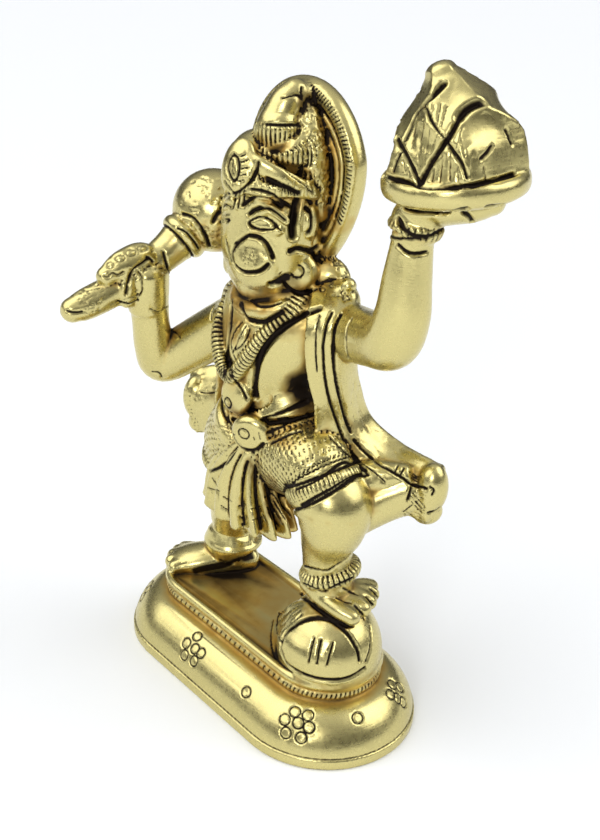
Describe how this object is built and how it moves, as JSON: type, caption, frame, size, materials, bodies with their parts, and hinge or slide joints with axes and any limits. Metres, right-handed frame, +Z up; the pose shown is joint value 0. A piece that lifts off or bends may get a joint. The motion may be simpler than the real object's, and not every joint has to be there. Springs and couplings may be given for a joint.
{
  "type": "hanuman figure",
  "caption": "Small cast brass Hanuman striding on an oval plinth, a mountain raised in one hand, a mace on the other shoulder and a foot on a demon's head.",
  "frame": {"origin": "middle of the plinth's flat underside", "axes": "+Z up, X along the plinth with the raised left hand on +X, the figure faces -Y"},
  "size_m": [0.075, 0.0429, 0.1143],
  "materials": {
    "brass": "polished yellow brass with dark brown patina in the carved lines and recesses"
  },
  "bodies": {
    "root": {"hanuman_figure": "brass"}
  },
  "joints": []
}
